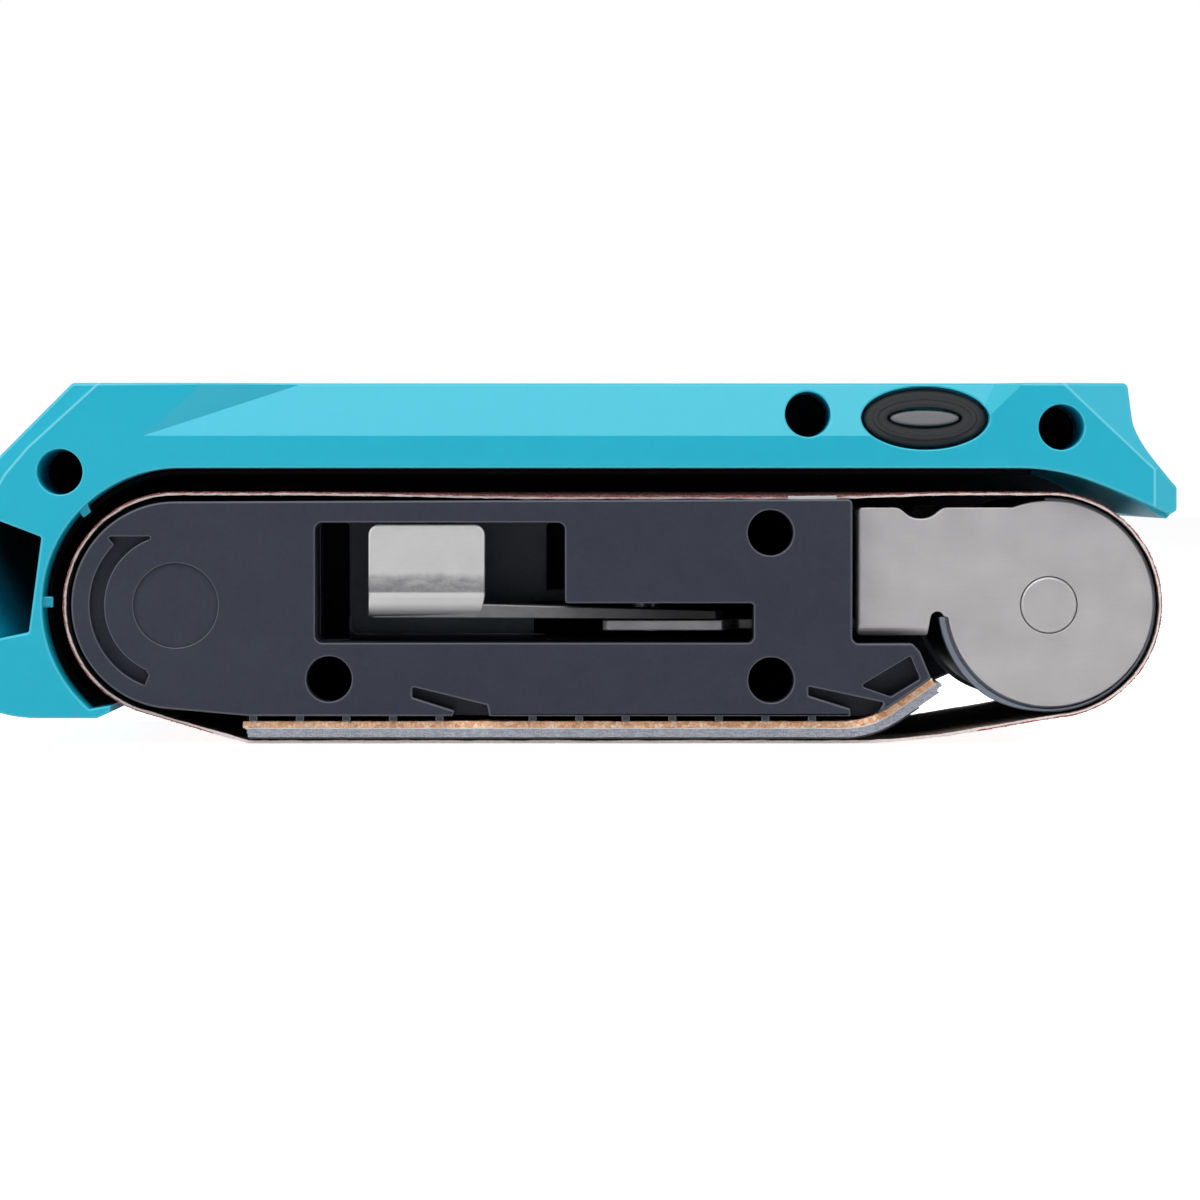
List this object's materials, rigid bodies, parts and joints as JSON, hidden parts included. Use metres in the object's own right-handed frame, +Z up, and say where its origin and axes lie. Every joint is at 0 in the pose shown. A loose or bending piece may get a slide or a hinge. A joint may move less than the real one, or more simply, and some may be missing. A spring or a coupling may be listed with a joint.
{
  "type": "belt sander running unit",
  "caption": "Hand-held belt sander running unit: taut abrasive belt round a driven drum and a sprung front roller, flat cork-backed shoe, tension lever and lower housing with open side.",
  "frame": {"origin": "middle of the flat sanding face, on the belt's outer face", "axes": "+X along the belt towards the front roller, -Y out of the open side where the belt slides off, +Z up"},
  "size_m": [0.2417, 0.1087, 0.0671],
  "materials": {
    "teal_nylon": "moulded, fine satin texture",
    "charcoal_plastic": "moulded, lightly spark-eroded",
    "black_liner": "dark, matt",
    "brushed_sheet": "rolled sheet, fine scratches",
    "zinc_steel": "bright zinc plated",
    "ground_steel": "ground",
    "black_rubber": "matt rubber",
    "grey_plastic": "moulded",
    "cork": "granulated cork, cut edges",
    "grey_felt": "pressed felt",
    "graphite_cloth": "slick coated cloth",
    "abrasive_cloth": "red-brown grit on cloth",
    "clamped_aluminium": "turned"
  },
  "bodies": {
    "housing": {"cork_pad": "cork", "felt_pad": "grey_felt", "glide_sheet": "graphite_cloth", "belt_frame": "charcoal_plastic", "drum_bearing_near": "ground_steel", "drum_bearing_far": "ground_steel", "tension_spring": "zinc_steel", "lever_pivot_pin": "zinc_steel", "housing_near": "teal_nylon", "housing_far": "teal_nylon", "bumper_ring": "black_rubber", "bumper_insert": "grey_plastic", "tunnel_liner": "black_liner", "side_plate": "charcoal_plastic", "drive_cover": "charcoal_plastic", "dust_nozzle": "charcoal_plastic", "frame_screw_1": "zinc_steel", "housing_screw_1": "zinc_steel", "frame_screw_2": "zinc_steel", "housing_screw_2": "zinc_steel", "frame_screw_3": "zinc_steel", "housing_screw_3": "zinc_steel", "side_screw_1": "zinc_steel", "side_screw_2": "zinc_steel", "cover_screw_1": "zinc_steel", "cover_screw_2": "zinc_steel", "cover_screw_3": "zinc_steel", "cover_screw_4": "zinc_steel"},
    "belt": {"sanding_belt": "abrasive_cloth"},
    "drum": {"drum_sleeve": "black_rubber", "drum_core": "grey_plastic", "drum_shaft": "ground_steel", "driven_pulley": "clamped_aluminium", "pulley_clip": "zinc_steel"},
    "idler_slide": {"idler_bracket": "brushed_sheet", "idler_axle": "ground_steel", "axle_clip": "zinc_steel", "spring_rod": "zinc_steel", "pull_link": "brushed_sheet"},
    "idler": {"idler_roller": "clamped_aluminium", "idler_bearing_near": "ground_steel", "idler_bearing_far": "ground_steel"},
    "lever": {"tension_lever": "brushed_sheet", "crank_pin": "zinc_steel"}
  },
  "joints": [
    {"name": "drum_spin", "type": "hinge", "parent": "housing", "child": "drum", "pos_m": [-0.0725, 0, 0.0258], "axis": [0, 1, 0], "continuous": true},
    {"name": "idler_shift", "type": "slide", "parent": "housing", "child": "idler_slide", "axis": [1, 0, 0], "range_m": [-0.0053, 0], "deforming": ["tension_spring"]},
    {"name": "idler_spin", "type": "hinge", "parent": "idler_slide", "child": "idler", "pos_m": [0.0902, 0, 0.0258], "axis": [0, 1, 0], "continuous": true},
    {"name": "lever_swing", "type": "hinge", "parent": "housing", "child": "lever", "pos_m": [0.014, -0.027, 0.0258], "axis": [0, 0, 1], "range_deg": [0, 75]},
    {"name": "belt_slide_off", "type": "slide", "parent": "housing", "child": "belt", "axis": [0, -1, 0], "range_m": [0, 0.085]}
  ],
  "couplings": [
    {"joint": "idler_spin", "follows": "drum_spin", "ratio": 1},
    {"joint": "lever_swing", "follows": "idler_shift", "rad_per_m": -246.9}
  ]
}
